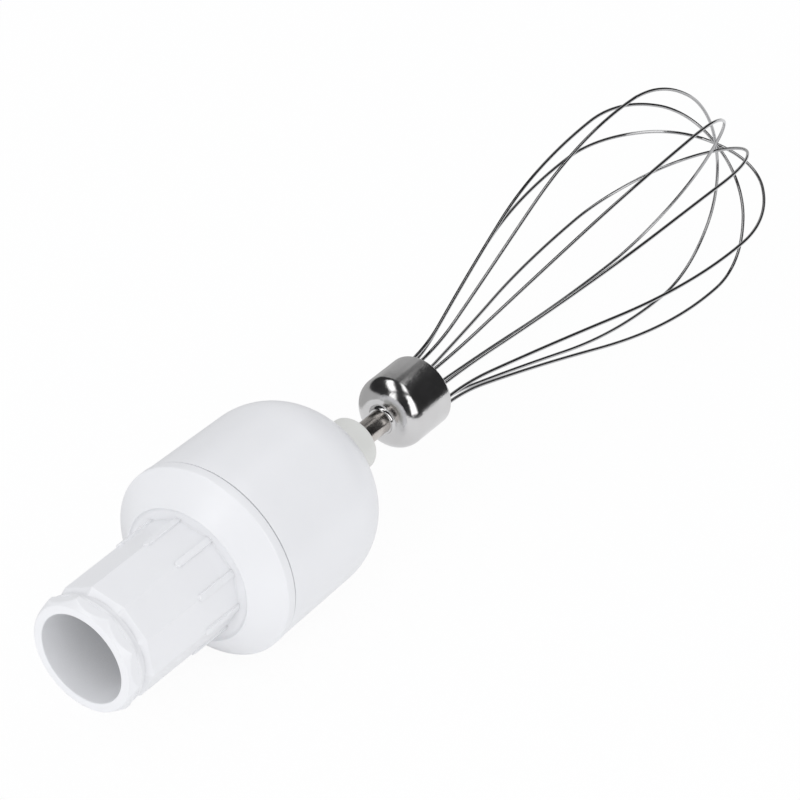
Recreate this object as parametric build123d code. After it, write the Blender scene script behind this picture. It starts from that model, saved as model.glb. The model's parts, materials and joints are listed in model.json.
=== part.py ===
from build123d import *
import math
import os

# A whisk attachment for a stick blender, lying on a table. Millimetres, +Z up. Every piece is
# built upright about the whisk's axis, measured from the mouth of the coupler, and is laid down
# at the end: the mouth points to -X and the whisk to +X, with the origin under the middle.

os.makedirs("parts", exist_ok=True)

# Coupler, from the mouth inwards
bore_radius = 11.5
bore_length = 16.0
inner_bore_radius = 10.6
bore_depth = 30.0
bulkhead_thickness = 3.0
mouth_face_radius = 13.7
flange_corner_radius = 14.85
flange_taper_length = 2.3
flange_prism_length = 3.4
flange_rim_radius = 14.35
flange_rim_length = 0.8
groove_radius = 13.45
groove_length = 1.7
snout_corner_radius = 14.7
snout_back_radius = 14.9
snout_length = 31.5
snout_chamfer_depth = 1.1
snout_chamfer_length = 1.6
snout_sides = 10
rib_length = 11.9
rib_width = 1.7
rib_height = 0.3

# Shoulder and the seam with the dome
recess_radius = 17.6
recess_depth = 0.6
shoulder_rise = 6.1
housing_radius = 24.9
shoulder_edge_radius = 0.5
shoulder_band = 2.4
shell_thickness = 2.2
seam_gap = 0.4
spigot_length = 2.2
spigot_wall = 1.2
spigot_play = 0.05

# Dome
dome_seam_step = 0.15
dome_draft = 0.35
dome_side_length = 26.3
dome_knuckle_radius = 18.0
dome_crown_height = 21.0
dome_wall = 2.0
bearing_boss_wall = 2.0

# Gear train. The gears' module is as large as the ring's wall lets it be
ring_wall = 3.67
pressure_angle = 25.0
sun_teeth = 12
planet_teeth = 24
planets = 3
addendum_ratio = 0.8
dedendum_ratio = 1.05
tooth_backlash = 0.10
gear_width = 6.5
ring_width = 10.0
ring_play = 0.1
cover_thickness = 2.5
carrier_thickness = 3.2
carrier_rim = 3.4
planet_gap = 0.4
pin_radius = 1.25
pin_head_radius = 2.1
pin_head_length = 0.7
pin_play = 0.05

# Screws that hold the cover and the ring gear to the dome's lugs
screw_radius = 1.0
screw_head_radius = 1.7
screw_head_length = 1.1
screw_length = 16.0
screw_inset = 1.75
lug_length = 6.0
lug_radius = 2.6

# Input shaft and the coupling that the blender drives
input_shaft_radius = 2.0
input_play = 0.04
input_bush_radius = 4.0
input_bush_flange_radius = 5.2
input_bush_flange = 1.0
cover_bush_radius = 3.6
dog_radius = 5.6
dog_length = 13.0
dog_gap = 0.5
dog_socket_flats = 6.4
dog_socket_depth = 7.0
input_clip_radius = 3.4
input_clip_thickness = 0.8
input_groove_depth = 0.3
axial_play = 0.3

# Output hub and its bearing
hub_radius = 7.05
hub_reach = 8.3
hub_edge_radius = 1.1
hub_collar_radius = 9.2
hub_collar_length = 2.0
hub_key_radius = 4.4
hub_key_flats = 6.6
bearing_wall = 1.4
bearing_length = 15.0
running_play = 0.05
washer_thickness = 0.8
seal_inset = 3.2
seal_width = 2.2
seal_wall = 1.1
nose_gap = 0.35
grip_ring_section = 0.8
grip_ring_inset = 5.0
hub_screw_radius = 1.25
hub_screw_length = 7.0
hub_screw_head_radius = 2.3
hub_screw_head_length = 1.3

# Whisk shaft, ferrule and wires
shaft_radius = 3.0
shaft_play = 0.05
shaft_insert = 25.0
shaft_flats = 4.6
shaft_flat_length = 9.0
shaft_exposed = 10.3
shaft_tip_chamfer = 0.5
socket_depth_play = 0.5
ferrule_radius = 9.65
ferrule_wall = 0.7
ferrule_neck_radius = 4.0
ferrule_neck_length = 1.1
ferrule_flare_radius = 1.0
ferrule_length = 17.2
ferrule_shoulder_radius = 4.65
ferrule_rim_radius = 0.9
ferrule_lip = 1.1
holder_length = 9.0
holder_inset = 1.6
wire_radius = 0.45
wire_count = 5
wire_circle_radius = 6.9
wire_hole_depth = 8.0
balloon_length = 145.7
balloon_radius = 28.3
balloon_flare_start = 9.3
balloon_widest_length = 40.5
balloon_shoulder_length = 20.5
balloon_nose_radius = 12.9
flare_bend = 72.0
widest_ease = 25.7
shoulder_bend = 38.0
nose_bend = 24.0
wire_step = 0.05

# Clearance of parts that are pressed or screwed together
fit = 0.02

# How near a station an edge lies to be picked by it
station_tolerance = 0.01

# Turn of the coupler's corners against the downward side of the whisk, in degrees
snout_turn = -15.1

# Stations along the axis
flange_end = flange_prism_length + flange_rim_length
snout_start = flange_end + groove_length
snout_end = snout_start + snout_length
shoulder_start = snout_end - recess_depth
shoulder_edge = shoulder_start + shoulder_rise
seam = shoulder_edge + shoulder_band
dome_start = seam + seam_gap
spigot_end = dome_start + spigot_length
bulkhead_end = bore_depth + bulkhead_thickness
knuckle_start = dome_start + dome_side_length
nose = knuckle_start + dome_crown_height
hub_front = nose + hub_reach
neck_start = hub_front + shaft_exposed
ferrule_front = neck_start + ferrule_length
wire_tip = ferrule_front + balloon_length
widest_start = wire_tip - balloon_shoulder_length - balloon_widest_length
flare_start = ferrule_front + balloon_flare_start

# Stations inside: the cover, gears, carrier and bearing follow one another from the seam
cover_end = spigot_end + cover_thickness
ring_end = cover_end + ring_width
pin_start = cover_end + planet_gap
gear_start = pin_start + pin_head_length + planet_gap
gear_end = gear_start + gear_width
carrier_start = gear_end + planet_gap
carrier_end = carrier_start + carrier_thickness
collar_end = carrier_end + hub_collar_length
washer_start = collar_end + axial_play
bearing_start = washer_start + washer_thickness
bearing_end = bearing_start + bearing_length
seal_end = nose - seal_inset
seal_start = seal_end - seal_width
screw_end = spigot_end + screw_length
hub_key_start = carrier_start + hub_screw_head_length
dog_end = bore_depth - dog_gap
dog_start = dog_end - dog_length
input_start = dog_start + dog_socket_depth
input_clip_start = bulkhead_end + input_bush_flange + axial_play
shaft_start = hub_front - shaft_insert
socket_end = shaft_start - socket_depth_play
holder_front = ferrule_front - holder_inset
holder_back = holder_front - holder_length

# Radii that follow from the ones above
snout_flat_radius = snout_corner_radius * math.cos(math.pi / snout_sides)
dome_seam_radius = housing_radius - dome_seam_step
dome_side_radius = dome_seam_radius - dome_draft
dome_inner_radius = dome_side_radius - dome_wall
spigot_radius = dome_inner_radius - spigot_play
spigot_inner_radius = spigot_radius - spigot_wall
ring_outer_radius = dome_inner_radius - ring_play
ring_teeth = sun_teeth + 2 * planet_teeth
gear_module = (ring_outer_radius - ring_wall) / (ring_teeth / 2 + dedendum_ratio)
planet_distance = gear_module * (sun_teeth + planet_teeth) / 2
carrier_radius = planet_distance + carrier_rim
bearing_inner_radius = hub_radius + running_play
bearing_radius = bearing_inner_radius + bearing_wall
seal_radius = bearing_inner_radius + seal_wall
boss_radius = bearing_radius + bearing_boss_wall
screw_circle_radius = ring_outer_radius - screw_inset
screw_turn = 60.0
socket_radius = shaft_radius + shaft_play
ferrule_inner_radius = ferrule_radius - ferrule_wall
flare = math.atan2(balloon_radius - wire_circle_radius, widest_start - flare_start)
widest_bend = widest_ease / math.tan(flare / 2)


def turned(points):
    """A solid of revolution about the axis from points (radius, height)."""
    outline = make_face(Polyline(*[(r, 0, z) for r, z in points], close=True))
    return revolve(outline, Axis.Z)


def tube(outer, inner, start, end):
    """A plain cylinder or sleeve between two stations."""
    height = end - start
    solid = Pos(0, 0, start) * extrude(Circle(outer), amount=height)
    if inner > 0:
        solid -= Pos(0, 0, start) * extrude(Circle(inner), amount=height)
    return solid


def spaced(count, radius, turn=0.0):
    """Places evenly spaced on a circle about the axis."""
    return [Rot(0, 0, turn + 360.0 * i / count) * Pos(radius, 0, 0) for i in range(count)]


def involute(angle):
    return math.tan(angle) - angle


def gear_outline(teeth, top, bottom, thinning, turn=0.0):
    """A gear's outline. Each flank runs straight from root to pitch circle to tip."""
    pitch = gear_module * teeth / 2
    base = pitch * math.cos(math.radians(pressure_angle))
    half = (math.pi * gear_module / 2 - thinning) / (2 * pitch) + involute(math.radians(pressure_angle))
    flank = []
    for radius in (pitch - bottom * gear_module, pitch, pitch + top * gear_module):
        roll = math.acos(min(1.0, base / radius))
        flank.append((radius, half - involute(roll)))
    points = []
    for tooth in range(teeth):
        middle = math.radians(turn) + 2 * math.pi * tooth / teeth
        for radius, width in flank:
            points.append((radius * math.cos(middle - width), radius * math.sin(middle - width)))
        for radius, width in reversed(flank):
            points.append((radius * math.cos(middle + width), radius * math.sin(middle + width)))
    return make_face(Polyline(*points, close=True))


def dome_profile(inset, seam_radius):
    """The dome's meridian from the seam to the nose: side, knuckle arc and crown arc."""
    side = dome_side_radius - inset
    knuckle = dome_knuckle_radius - inset
    rise = dome_crown_height - inset
    # The crown's radius is the one that meets the knuckle's arc in a tangent
    offset = side - knuckle
    crown = (offset**2 + rise**2 - knuckle**2) / (2 * (rise - knuckle))
    centre = knuckle_start + rise - crown
    lean = math.atan2(knuckle_start - centre, offset)
    meet = (crown * math.cos(lean), 0, centre + crown * math.sin(lean))
    top = (0, 0, centre + crown)
    knuckle_middle = (offset + knuckle * math.cos(lean / 2), 0, knuckle_start + knuckle * math.sin(lean / 2))
    half_way = (lean + math.pi / 2) / 2
    crown_middle = (crown * math.cos(half_way), 0, centre + crown * math.sin(half_way))
    start = (seam_radius, 0, dome_start)
    turn_in = (side, 0, knuckle_start)
    return (
        Line(start, turn_in)
        + ThreePointArc(turn_in, knuckle_middle, meet)
        + ThreePointArc(meet, crown_middle, top)
        + Polyline(top, (0, 0, dome_start), start)
    )


def coupler_housing():
    """The white moulding with the blender's socket, the ten-sided snout and the shoulder."""
    body = prism(flange_corner_radius, 0, flange_prism_length)
    body &= turned([(0, 0), (mouth_face_radius, 0),
                    (flange_corner_radius, flange_taper_length),
                    (flange_corner_radius, flange_end), (0, flange_end)])
    body += tube(flange_rim_radius, 0, flange_prism_length, flange_end)
    body += tube(groove_radius, 0, flange_end, snout_start)
    chamfer_end = snout_start + snout_chamfer_length
    body += loft([snout_section(snout_corner_radius - snout_chamfer_depth, snout_start),
                  snout_section(snout_corner_radius, chamfer_end)])
    body += loft([snout_section(snout_corner_radius, chamfer_end),
                  snout_section(snout_back_radius, snout_end)])
    shoulder = turned([(0, snout_end), (recess_radius - recess_depth, snout_end),
                       (recess_radius, shoulder_start), (housing_radius, shoulder_edge),
                       (housing_radius, seam), (0, seam)])
    rim = [edge for edge in shoulder.edges().filter_by(GeomType.CIRCLE)
           if abs(edge.center().Z - shoulder_edge) < station_tolerance]
    body += fillet(rim, shoulder_edge_radius)
    body += ribs()
    # The hollow behind the bulkhead follows the snout and the shoulder, and opens at the seam
    waist_end = snout_end + shell_thickness
    under_shoulder = turned([(0, waist_end), (recess_radius, waist_end),
                             (housing_radius, waist_end + shoulder_rise),
                             (housing_radius, spigot_end), (0, spigot_end)])
    body += tube(spigot_radius, 0, seam, spigot_end)
    body -= tube(snout_flat_radius - shell_thickness, 0, bulkhead_end, waist_end)
    body -= under_shoulder & tube(spigot_inner_radius, 0, waist_end, spigot_end)
    body -= tube(bore_radius, 0, 0, bore_length)
    body -= tube(inner_bore_radius, 0, bore_length, bore_depth)
    body -= tube(input_bush_radius + fit, 0, bore_depth, bulkhead_end)
    return body


def snout_section(corner_radius, station):
    return Pos(0, 0, station) * RegularPolygon(corner_radius, snout_sides, rotation=snout_turn)


def prism(corner_radius, start, end):
    """A length of the coupler's ten-sided prism."""
    return extrude(snout_section(corner_radius, start), amount=end - start)


def ribs():
    """Low ribs along the snout's corners, round at the end that faces the mouth."""
    slot = SlotOverall(2 * rib_length, rib_width, rotation=90)
    bar = extrude(Plane.YZ * slot, amount=rib_width + rib_height)
    half = bar & (Pos(0, 0, -rib_length / 2) * Box(4 * rib_width, 2 * rib_width, rib_length))
    places = spaced(snout_sides, snout_back_radius - rib_width, snout_turn)
    return [place * Pos(0, 0, snout_end) * half for place in places]


def dome_housing():
    """The dome, with the bearing's boss behind its nose and three lugs for the screws."""
    shell = revolve(make_face(dome_profile(0, dome_seam_radius)), Axis.Z)
    cavity = revolve(make_face(dome_profile(dome_wall, dome_inner_radius)), Axis.Z)
    cavity -= tube(boss_radius, 0, bearing_start, nose)
    for place in screw_places():
        cavity -= place * tube(lug_radius, 0, ring_end, ring_end + lug_length)
    body = shell - cavity
    body -= tube(bearing_radius + fit, 0, bearing_start, bearing_end)
    body -= tube(hub_radius + nose_gap, 0, bearing_end, nose)
    body -= tube(seal_radius + fit, 0, seal_start, seal_end)
    for place in screw_places():
        body -= place * tube(screw_radius + fit, 0, ring_end, screw_end)
    return body


def screw_places():
    return spaced(planets, screw_circle_radius, screw_turn)


def gearbox_cover():
    """The plate that closes the gears off from the coupler, countersunk for three screws."""
    body = tube(ring_outer_radius, cover_bush_radius + fit, spigot_end, cover_end)
    for place in screw_places():
        body -= place * screw_solid(fit)
    return body


def screw_solid(clearance):
    """One countersunk screw, or its hole with a clearance all round."""
    head = screw_head_radius + clearance
    shank = screw_radius + clearance
    return turned([(0, spigot_end), (head, spigot_end), (shank, spigot_end + screw_head_length),
                   (shank, screw_end), (0, screw_end)])


def cover_screws():
    return Compound([place * screw_solid(0) for place in screw_places()])


def ring_gear():
    """The fixed ring with inner teeth. Its hole is a gear's outline, turned by half a tooth."""
    body = tube(ring_outer_radius, 0, cover_end, ring_end)
    hole = gear_outline(ring_teeth, dedendum_ratio, addendum_ratio, -tooth_backlash, 180 / ring_teeth)
    body -= Pos(0, 0, cover_end) * extrude(hole, amount=ring_width)
    for place in screw_places():
        body -= place * screw_solid(fit)
    return body


def sun_gear():
    gear = gear_outline(sun_teeth, addendum_ratio, dedendum_ratio, tooth_backlash)
    body = Pos(0, 0, gear_start) * extrude(gear, amount=gear_width)
    return body - tube(input_shaft_radius + fit, 0, gear_start, gear_end)


def planet_gear(place):
    """A planet gear on its pin, with a gap between teeth turned towards the sun gear."""
    gear = gear_outline(planet_teeth, addendum_ratio, dedendum_ratio, tooth_backlash, 180 / planet_teeth)
    body = Pos(0, 0, gear_start) * extrude(gear, amount=gear_width)
    return place * (body - tube(pin_radius + pin_play, 0, gear_start, gear_end))


def planet_pin(place):
    """A headed pin that is pressed into the carrier."""
    return place * turned([(0, pin_start), (pin_head_radius, pin_start),
                           (pin_head_radius, pin_start + pin_head_length),
                           (pin_radius, pin_start + pin_head_length),
                           (pin_radius, carrier_end), (0, carrier_end)])


def planet_carrier():
    body = tube(carrier_radius, 0, carrier_start, carrier_end)
    for place in planet_places():
        body -= place * tube(pin_radius + fit, 0, carrier_start, carrier_end)
    body -= hub_key(fit, hub_key_start, carrier_end)
    return body - tube(hub_screw_head_radius + fit, 0, carrier_start, hub_key_start)


def planet_places():
    return spaced(planets, planet_distance)


def flatted(radius, flats, start, end):
    """A round bar with two flats."""
    return tube(radius, 0, start, end) & (
        Pos(0, 0, (start + end) / 2) * Box(2 * radius, flats, end - start))


def hub_key(clearance, start, end):
    return flatted(hub_key_radius + clearance, hub_key_flats + 2 * clearance, start, end)


def output_hub():
    """The off-white hub that the dome's nose lets through, with the whisk's socket in it."""
    body = tube(hub_collar_radius, 0, carrier_end, collar_end)
    journal = tube(hub_radius, 0, collar_end, hub_front)
    body += fillet(journal.edges().filter_by(GeomType.CIRCLE).sort_by(Axis.Z)[-1], hub_edge_radius)
    body += hub_key(0, hub_key_start, carrier_end)
    body -= tube(socket_radius, 0, shaft_start + shaft_flat_length, hub_front)
    body -= flatted(socket_radius, shaft_flats + 2 * shaft_play, socket_end,
                    shaft_start + shaft_flat_length)
    groove_end = hub_front - grip_ring_inset
    body -= tube(grip_ring_radius() + grip_ring_section / 2 + fit, 0,
                 groove_end - grip_ring_section - 2 * fit, groove_end)
    return body - tube(hub_screw_radius + fit, 0, hub_key_start, hub_key_start + hub_screw_length)


def grip_ring_radius():
    return socket_radius + grip_ring_section / 2


def grip_ring():
    """The rubber ring in the socket that grips the whisk's shaft."""
    station = hub_front - grip_ring_inset - fit - grip_ring_section / 2
    return Pos(0, 0, station) * Torus(grip_ring_radius(), grip_ring_section / 2)


def hub_screw():
    """The screw that draws the hub onto the carrier."""
    end = hub_key_start + hub_screw_length
    return turned([(0, carrier_start), (hub_screw_head_radius, carrier_start),
                   (hub_screw_head_radius, hub_key_start), (hub_screw_radius, hub_key_start),
                   (hub_screw_radius, end), (0, end)])


def input_shaft():
    """The steel shaft from the drive coupling to the sun gear, with a groove for its clip."""
    clip_end = input_clip_start + input_clip_thickness
    return (tube(input_shaft_radius, 0, input_start, input_clip_start)
            + tube(input_shaft_radius - input_groove_depth, 0, input_clip_start, clip_end)
            + tube(input_shaft_radius, 0, clip_end, gear_end))


def drive_coupling():
    """The six-sided socket deep in the coupler, which the blender's shaft turns."""
    body = tube(dog_radius, 0, dog_start, dog_end)
    socket = RegularPolygon(dog_socket_flats / 2, 6, major_radius=False)
    body -= Pos(0, 0, dog_start) * extrude(socket, amount=dog_socket_depth)
    return body - tube(input_shaft_radius + fit, 0, input_start, dog_end)


def input_bush():
    """The flanged bush in the coupler's bulkhead."""
    bore = input_shaft_radius + input_play
    return (tube(input_bush_radius, bore, bore_depth, bulkhead_end)
            + tube(input_bush_flange_radius, bore, bulkhead_end, bulkhead_end + input_bush_flange))


def input_clip():
    """An open clip in the input shaft's groove, which keeps the shaft from pulling out."""
    end = input_clip_start + input_clip_thickness
    inner = input_shaft_radius - input_groove_depth + fit
    body = tube(input_clip_radius, inner, input_clip_start, end)
    return body - Pos(input_clip_radius, 0, input_clip_start) * Box(
        2 * input_clip_radius, 2 * inner, 4 * input_clip_thickness)


def whisk_shaft():
    """The steel shaft, flatted and chamfered where it drops into the hub."""
    flat_end = shaft_start + shaft_flat_length
    tip = turned([(0, shaft_start), (shaft_radius - shaft_tip_chamfer, shaft_start),
                  (shaft_radius, shaft_start + shaft_tip_chamfer), (shaft_radius, flat_end),
                  (0, flat_end)])
    tip &= flatted(shaft_radius, shaft_flats, shaft_start, flat_end)
    return tip + tube(shaft_radius, 0, flat_end, holder_front)


def ferrule():
    """The drawn steel cup with its flared neck, rounded shoulder and turned-in lip."""
    back = neck_start + ferrule_neck_length
    lip_radius = ferrule_radius - ferrule_lip
    outside = FilletPolyline((ferrule_neck_radius, 0, neck_start), (ferrule_neck_radius, 0, back),
                             (ferrule_radius, 0, back), (ferrule_radius, 0, ferrule_front),
                             (lip_radius, 0, ferrule_front),
                             radius=[ferrule_flare_radius, ferrule_shoulder_radius, ferrule_rim_radius])
    outside += Polyline((lip_radius, 0, ferrule_front), (0, 0, ferrule_front), (0, 0, neck_start),
                        (ferrule_neck_radius, 0, neck_start))
    body = revolve(make_face(outside), Axis.Z)
    hollow = tube(ferrule_inner_radius, 0, back + ferrule_wall, ferrule_front - ferrule_wall)
    corner = hollow.edges().filter_by(GeomType.CIRCLE).sort_by(Axis.Z)[0]
    body -= fillet(corner, ferrule_shoulder_radius - ferrule_wall)
    return body - tube(shaft_radius + fit, 0, neck_start, ferrule_front) - tube(
        lip_radius, 0, ferrule_front - ferrule_wall, ferrule_front)


def wire_holder():
    """The plug inside the ferrule that the wires' ends are set in."""
    body = tube(ferrule_inner_radius - fit, shaft_radius + fit, holder_back, holder_front)
    hole_start = holder_front - wire_hole_depth
    for place in spaced(2 * wire_count, wire_circle_radius, 90 / wire_count):
        body -= place * tube(wire_radius + fit, 0, hole_start, holder_front)
    return body


def wire_loop(number):
    """One wire from its hole, out over the balloon's shoulder and back down opposite."""
    tip = wire_tip - wire_radius - number * (2 * wire_radius + wire_step)
    side = [(wire_circle_radius, holder_front - wire_hole_depth),
            (wire_circle_radius, flare_start),
            (balloon_radius, widest_start),
            (balloon_radius, tip - balloon_shoulder_length),
            (balloon_nose_radius, tip)]
    points = [(r, 0, z) for r, z in side] + [(-r, 0, z) for r, z in reversed(side)]
    bends = [flare_bend, widest_bend, shoulder_bend, nose_bend]
    route = FilletPolyline(*points, radius=bends + bends[::-1])
    section = Plane(origin=points[0], z_dir=(0, 0, 1)) * Circle(wire_radius)
    turn = 90 / wire_count + 180.0 * number / wire_count
    return Rot(0, 0, turn) * sweep(section, path=route)


def pieces():
    """Every piece by name, upright about the whisk's axis."""
    made = {
        "coupler_housing": coupler_housing(),
        "dome_housing": dome_housing(),
        "gearbox_cover": gearbox_cover(),
        "cover_screws": cover_screws(),
        "ring_gear": ring_gear(),
        "input_bush": input_bush(),
        "cover_bush": tube(cover_bush_radius, input_shaft_radius + input_play, spigot_end, cover_end),
        "hub_bearing": tube(bearing_radius, bearing_inner_radius, bearing_start, bearing_end),
        "thrust_washer": tube(bearing_radius, bearing_inner_radius, washer_start, bearing_start),
        "hub_seal": tube(seal_radius, bearing_inner_radius, seal_start, seal_end),
        "drive_coupling": drive_coupling(),
        "input_shaft": input_shaft(),
        "input_clip": input_clip(),
        "sun_gear": sun_gear(),
        "planet_carrier": planet_carrier(),
        "output_hub": output_hub(),
        "hub_screw": hub_screw(),
        "grip_ring": grip_ring(),
        "whisk_shaft": whisk_shaft(),
        "ferrule": ferrule(),
        "wire_holder": wire_holder(),
    }
    for number, place in enumerate(planet_places(), start=1):
        made[f"planet_gear_{number}"] = planet_gear(place)
        made[f"planet_pin_{number}"] = planet_pin(place)
    for number in range(wire_count):
        made[f"wire_loop_{number + 1}"] = wire_loop(number)
    return made


# The whisk lies on the shoulder's rim and on the two lowest wires, half a spacing off its lowest
# side, so the axis climbs a little towards the whisk. The wires touch where their widest bend ends
wire_reach = balloon_radius * math.cos(math.pi / (2 * wire_count)) + wire_radius
rest_length = widest_start + widest_ease - shoulder_edge
rise_angle = math.degrees(math.asin((wire_reach - housing_radius) / rest_length))
laid = {name: Rot(0, 90 - rise_angle, 0) * piece for name, piece in pieces().items()}
boxes = [piece.bounding_box() for piece in laid.values()]
to_origin = Pos(-(min(box.min.X for box in boxes) + max(box.max.X for box in boxes)) / 2,
                -(min(box.min.Y for box in boxes) + max(box.max.Y for box in boxes)) / 2,
                -min(box.min.Z for box in boxes))

for name, piece in laid.items():
    export_step(to_origin * piece, f"parts/{name}.step")
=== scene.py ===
"""The looks of a stick blender's whisk attachment, lying on a white table under soft studio light.

Lengths are in millimetres. Each piece is built upright about the whisk's axis, with stations
counted from the coupler's mouth, and is then laid down where the frame has it.
"""
import json
import math

import bpy
from mathutils import Euler, Matrix, Vector


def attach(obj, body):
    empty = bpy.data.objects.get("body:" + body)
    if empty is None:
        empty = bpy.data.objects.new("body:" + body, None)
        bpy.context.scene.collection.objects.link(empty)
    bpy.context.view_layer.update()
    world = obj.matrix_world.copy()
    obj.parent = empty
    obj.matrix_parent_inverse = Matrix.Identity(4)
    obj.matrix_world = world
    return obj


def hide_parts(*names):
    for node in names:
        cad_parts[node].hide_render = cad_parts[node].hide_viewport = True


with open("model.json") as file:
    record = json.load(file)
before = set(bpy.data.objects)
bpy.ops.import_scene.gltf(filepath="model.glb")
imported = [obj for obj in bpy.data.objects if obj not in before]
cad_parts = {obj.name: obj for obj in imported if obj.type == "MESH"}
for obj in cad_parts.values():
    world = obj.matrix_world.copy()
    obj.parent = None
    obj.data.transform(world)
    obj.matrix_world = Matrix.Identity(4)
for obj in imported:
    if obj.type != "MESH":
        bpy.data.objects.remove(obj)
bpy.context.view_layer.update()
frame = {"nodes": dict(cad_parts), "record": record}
nodes = frame["nodes"]

MM = 0.001

# Points closer than this many metres are one point
SAME_PLACE = 1e-7

# Camera: its bearing about the vertical, its elevation and its roll in degrees, its distance and its
# aim in metres, and its lens and sensor in millimetres
CAMERA_BEARING = -58.61
CAMERA_ELEVATION = 38.09
CAMERA_ROLL = 7.47
CAMERA_DISTANCE = 0.7538
CAMERA_AIM = Vector((-0.00878, 0.00531, 0.01997))
CAMERA_LENS = 135.3
CAMERA_SENSOR = 36

# Table, with its side in metres
FLOOR_SIZE = 6.0
FLOOR_COLOR = (0.98, 0.98, 0.98)
FLOOR_ROUGHNESS = 0.9

# How much of the floor's brightness is plain white, as the camera sees it and as the gloss does
FLOOR_IN_VIEW = 0.93
FLOOR_IN_GLOSS = 0.4

# Coupler
BORE_RADIUS = 11.5
BORE_LENGTH = 16.0
INNER_BORE_RADIUS = 10.6
BORE_DEPTH = 30.0
BULKHEAD_END = 33.0
BUSH_HOLE_RADIUS = 4.02
MOUTH_FACE_RADIUS = 13.7
MOUTH_FACE_EDGE = ((0.25, 0), (0.1, 0.02))  # each row's inset and height
FLANGE_CORNER_RADIUS = 14.85
FLANGE_TAPER_LENGTH = 2.3
FLANGE_PRISM_LENGTH = 3.4
FLANGE_STEP_LENGTH = 0.08
FLANGE_RIM_RUN = 0.2
FLANGE_RIM_RADIUS = 14.35
FLANGE_END = 4.2
GROOVE_RADIUS = 13.45
SNOUT_START = 5.9
SNOUT_FACE_LENGTH = 0.05
SNOUT_FACE_BLEND = 0.04
SNOUT_FRONT_RADIUS = 13.6
SNOUT_CHAMFER_END = 7.5
SNOUT_CORNER_RADIUS = 14.7
SNOUT_BACK_RADIUS = 14.9
SNOUT_END = 37.4
SNOUT_SIDES = 10
SNOUT_TURN = -15.1
SNOUT_INNER_RADIUS = 11.78
SNOUT_ROOT = ((0.05, 0.12), (0.2, 0))  # each row's outset and its distance before the end
RIB_LENGTH = 11.9
RIB_WIDTH = 1.7
RIB_HEIGHT = 0.3
RIB_EDGE = 0.22
RIB_TOP_INSET = 0.05
RIB_OVERLAP = 0.2
RECESS_RADIUS = 17.6
RECESS_FLOOR_INSET = 1.6
RECESS_DEPTH = 0.6
SHOULDER_EDGE = 42.9
HOUSING_RADIUS = 24.9
SEAM = 45.3
SHELL_THICKNESS = 2.2
SPIGOT_RADIUS = 22.35
SPIGOT_INNER_RADIUS = 21.15
SPIGOT_END = 47.9

# Dome
DOME_START = 45.65
DOME_SEAM_RADIUS = 24.75
DOME_SIDE_RADIUS = 24.4
DOME_WALL = 2.0
KNUCKLE_START = 72.0
KNUCKLE_RADIUS = 18.0
CROWN_HEIGHT = 21.0
NOSE = KNUCKLE_START + CROWN_HEIGHT
NOSE_HOLE_RADIUS = 7.4
NOSE_HOLE_RISE = 0.02
SEAL_RADIUS = 8.22
SEAL_START = 87.6
SEAL_END = 89.8
BEARING_RADIUS = 8.52
BEARING_START = 65.1
BEARING_END = 80.1
BOSS_RADIUS = 10.5
LUG_COUNT = 3
FIRST_LUG = 60
LUG_RADIUS = 2.6
LUG_START = 60.4
LUG_END = 66.4
LUG_CIRCLE_RADIUS = 20.55
LUG_HOLE_RADIUS = 1.02

# Hub
CARRIER_END = 62.0
HUB_KEY_START = 60.1
HUB_KEY_RADIUS = 4.4
HUB_KEY_FLATS = 6.6
HUB_COLLAR_RADIUS = 9.2
HUB_COLLAR_END = 64.0
HUB_RADIUS = 7.05
HUB_FRONT = 101.3
HUB_EDGE_RADIUS = 1.1
SOCKET_RADIUS = 3.05
SOCKET_END = 75.8
SOCKET_FLATS = 4.7
SOCKET_FLAT_END = 85.3
GRIP_GROOVE_RADIUS = 3.87
GRIP_GROOVE_START = 95.46
GRIP_GROOVE_END = 96.3
HUB_SCREW_HOLE_RADIUS = 1.27
HUB_SCREW_HOLE_END = 67.1

# Whisk
SHAFT_RADIUS = 3.0
SHAFT_START = 76.3
SHAFT_FLATS = 4.6
SHAFT_FLAT_END = 85.3
SHAFT_TIP_CHAMFER = 0.5
HOLDER_FRONT = 127.2
NECK_START = 111.6
NECK_HOLE_RADIUS = 3.02
NECK_FRONT_RADIUS = 3.45
NECK_RADIUS = 3.55
NECK_LENGTH = 1.1
NECK_FLARE = 1.0
FERRULE_RADIUS = 9.65
FERRULE_WALL = 0.7
FERRULE_FRONT = 128.8
FERRULE_SHOULDER = 4.65
FERRULE_RIM = 0.9
FERRULE_LIP = 1.1
WIRE_RADIUS = 0.45
WIRE_COUNT = 5
WIRE_CIRCLE_RADIUS = 6.9
WIRE_HOLE_DEPTH = 8.0
WIRE_TIP = 274.5
FLARE_START = 138.1
WIDEST_START = 213.5
SHOULDER_LENGTH = 20.5
BALLOON_RADIUS = 28.3
BALLOON_NOSE_RADIUS = 12.9
FLARE_BEND = 72.0
WIDEST_EASE = 25.7
SHOULDER_BEND = 38.0
NOSE_BEND = 24.0
WIRE_STEP = 0.05

# How the whisk's cage leans at its tip and in its middle: down, towards +Y and along
CAGE_TIP_LEAN = Vector((-0.4, 1.4, 0))
CAGE_MIDDLE_LEAN = Vector((0.65, 1.2, 0))

# How each wire is bent out of the even round: its tip's shift along the axis, then for each half
# how far it stands sideways, swells out in its middle and sways out below and in above
WIRE_BENDS = [
    (-4.0, (1.0, -0.3, 0.0), (1.0, -0.7, 1.3)),
    (-1.8, (-1.5, -0.5, 0.0), (-1.0, -1.2, 2.6)),
    (3.3, (0.1, 0.0, 0.1), (0.1, 0.1, -0.6)),
    (3.25, (-1.0, -0.8, 0.4), (-0.6, 0.8, -1.0)),
    (3.2, (-1.6, 1.6, -1.1), (-1.2, -0.6, -0.5)),
]

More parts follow.
